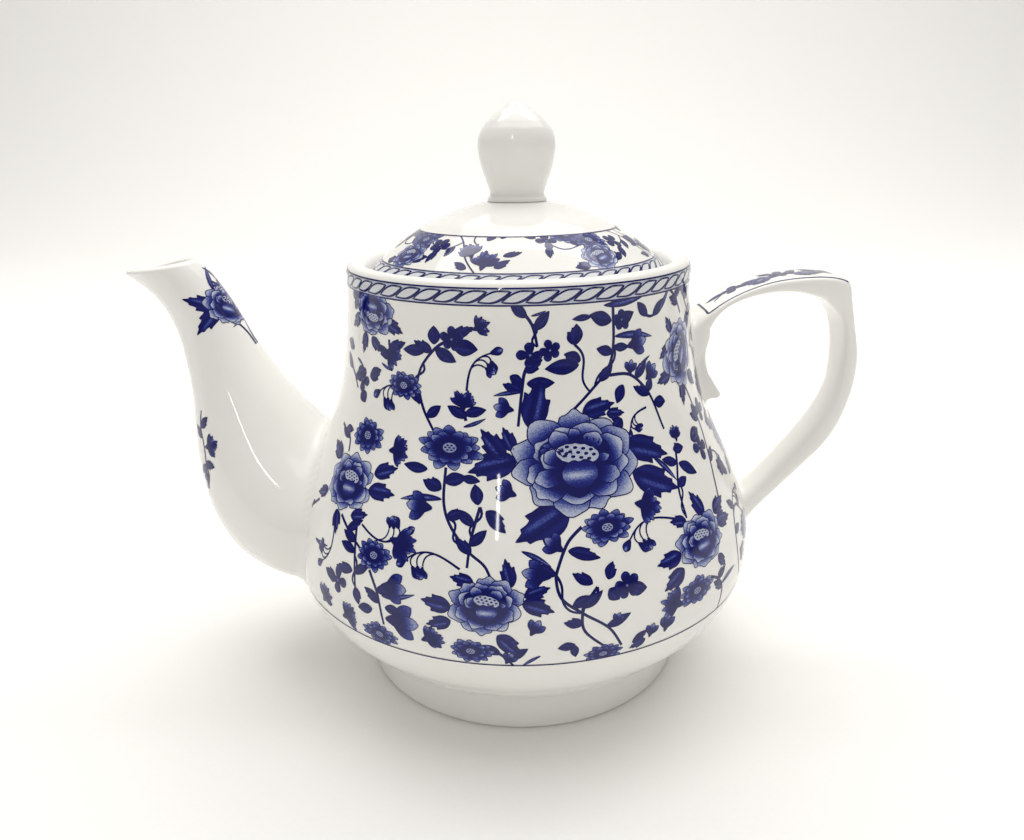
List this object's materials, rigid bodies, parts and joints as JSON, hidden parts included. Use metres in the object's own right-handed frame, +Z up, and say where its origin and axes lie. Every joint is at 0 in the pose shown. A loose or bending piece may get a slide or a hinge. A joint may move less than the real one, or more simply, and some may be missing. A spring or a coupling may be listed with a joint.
{
  "type": "porcelain teapot",
  "caption": "Pear-shaped lidded porcelain teapot with a curved spout, a strap handle, an acorn knob and an all-over blue floral print.",
  "frame": {"origin": "centre of the bounding box's bottom face, on the plane the foot ring stands on; the pot's own axis is 7 mm towards the handle from it", "axes": "+X from spout to handle, +Z up along the pot's axis, +Y across, away from the side the print's large flower faces"},
  "size_m": [0.2186, 0.1428, 0.1704],
  "materials": {
    "pot_body": "glossy glaze with cobalt print",
    "spout": "glossy white glaze",
    "handle": "glossy white glaze",
    "lid": "glossy glaze with cobalt print",
    "knob": "glossy white glaze"
  },
  "bodies": {
    "pot": {"pot_body": "pot_body", "spout": "spout", "handle": "handle"},
    "lid": {"lid": "lid", "knob": "knob"}
  },
  "joints": [
    {"name": "lid_lift", "type": "slide", "parent": "pot", "child": "lid", "axis": [0, 0, 1], "range_m": [0, 0.08]}
  ]
}
